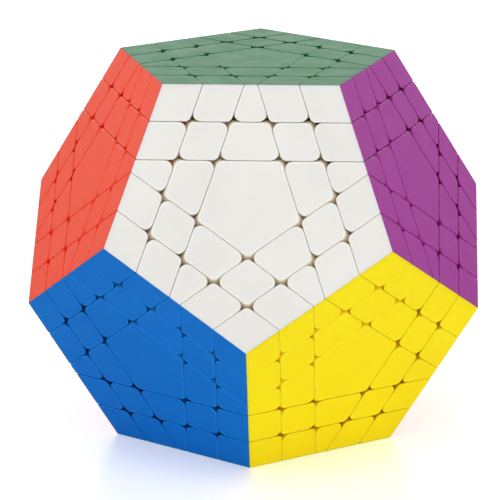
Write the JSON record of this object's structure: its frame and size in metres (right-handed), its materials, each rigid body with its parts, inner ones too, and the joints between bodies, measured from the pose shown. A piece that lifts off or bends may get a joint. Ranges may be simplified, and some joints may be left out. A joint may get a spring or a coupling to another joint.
{
  "type": "twisty puzzle",
  "caption": "Dodecahedron twisty puzzle in stickerless coloured plastic; outer layers and inner slices turn on a screwed and sprung central core.",
  "frame": {"origin": "centre of the core, which is the centre of the dodecahedron", "axes": "+Z out through the middle of the green face on top, -Y towards the white face at the front, +X to the right of the white face"},
  "size_m": [0.1362, 0.1432, 0.1158],
  "materials": {
    "green_plastic": "satin injection-moulded ABS, coloured through",
    "white_plastic": "satin injection-moulded ABS, coloured through",
    "purple_plastic": "satin injection-moulded ABS, coloured through",
    "sky_plastic": "satin injection-moulded ABS, coloured through",
    "cream_plastic": "satin injection-moulded ABS, coloured through",
    "red_plastic": "satin injection-moulded ABS, coloured through",
    "yellow_plastic": "satin injection-moulded ABS, coloured through",
    "orange_plastic": "satin injection-moulded ABS, coloured through",
    "grey_plastic": "satin injection-moulded ABS, coloured through",
    "pink_plastic": "satin injection-moulded ABS, coloured through",
    "blue_plastic": "satin injection-moulded ABS, coloured through",
    "lime_plastic": "satin injection-moulded ABS, coloured through",
    "core_nylon": "natural moulded nylon",
    "steel": "zinc-plated steel"
  },
  "bodies": {
    "root": {"core": "core_nylon", "green_screw": "steel", "green_spring": "steel", "blue_screw": "steel", "blue_spring": "steel", "orange_screw": "steel", "orange_spring": "steel", "white_face_group": "white_plastic", "purple_face_group": "purple_plastic", "sky_face_group": "sky_plastic", "cream_face_group": "cream_plastic", "red_face_group": "red_plastic", "yellow_face_group": "yellow_plastic", "grey_face_group": "grey_plastic", "pink_face_group": "pink_plastic", "lime_face_group": "lime_plastic", "white_purple_yellow_corner_group": "white_plastic", "sky_cream_grey_corner_group": "sky_plastic", "cream_red_pink_corner_group": "cream_plastic", "cream_grey_pink_corner_group": "cream_plastic", "grey_pink_lime_corner_group": "grey_plastic"},
    "green_outer_layer": {"green_cap": "green_plastic", "green_centre_block": "green_plastic", "green_corner_1": "green_plastic", "green_corner_2": "green_plastic", "green_corner_3": "green_plastic", "green_corner_4": "green_plastic", "green_corner_5": "green_plastic", "green_edge_1": "green_plastic", "green_edge_2": "green_plastic", "green_edge_3": "green_plastic", "green_edge_4": "green_plastic", "green_edge_5": "green_plastic"},
    "green_inner_slice": {"green_slice": "green_plastic"},
    "blue_outer_layer": {"blue_cap": "blue_plastic", "blue_centre_block": "blue_plastic", "blue_corner_1": "blue_plastic", "blue_corner_2": "blue_plastic", "blue_corner_3": "blue_plastic", "blue_corner_4": "blue_plastic", "blue_corner_5": "blue_plastic", "blue_edge_1": "blue_plastic", "blue_edge_2": "blue_plastic", "blue_edge_3": "blue_plastic", "blue_edge_4": "blue_plastic", "blue_edge_5": "blue_plastic"},
    "blue_inner_slice": {"blue_slice": "blue_plastic"},
    "orange_outer_layer": {"orange_cap": "orange_plastic", "orange_centre_block": "orange_plastic", "orange_corner_1": "orange_plastic", "orange_corner_2": "orange_plastic", "orange_corner_3": "orange_plastic", "orange_corner_4": "orange_plastic", "orange_corner_5": "orange_plastic", "orange_edge_1": "orange_plastic", "orange_edge_2": "orange_plastic", "orange_edge_3": "orange_plastic", "orange_edge_4": "orange_plastic", "orange_edge_5": "orange_plastic"},
    "orange_inner_slice": {"orange_slice": "orange_plastic"}
  },
  "joints": [
    {"name": "green_layer_turn", "type": "hinge", "parent": "root", "child": "green_outer_layer", "pos_m": [0, 0, 0], "axis": [0, 0, 1], "continuous": true},
    {"name": "green_slice_turn", "type": "hinge", "parent": "root", "child": "green_inner_slice", "pos_m": [0, 0, 0], "axis": [0, 0, 1], "continuous": true},
    {"name": "blue_layer_turn", "type": "hinge", "parent": "root", "child": "blue_outer_layer", "pos_m": [0, 0, 0], "axis": [-0.5257, -0.7236, -0.4472], "continuous": true},
    {"name": "blue_slice_turn", "type": "hinge", "parent": "root", "child": "blue_inner_slice", "pos_m": [0, 0, 0], "axis": [-0.5257, -0.7236, -0.4472], "continuous": true},
    {"name": "orange_layer_turn", "type": "hinge", "parent": "root", "child": "orange_outer_layer", "pos_m": [0, 0, 0], "axis": [0.8507, 0.2764, -0.4472], "continuous": true},
    {"name": "orange_slice_turn", "type": "hinge", "parent": "root", "child": "orange_inner_slice", "pos_m": [0, 0, 0], "axis": [0.8507, 0.2764, -0.4472], "continuous": true}
  ]
}
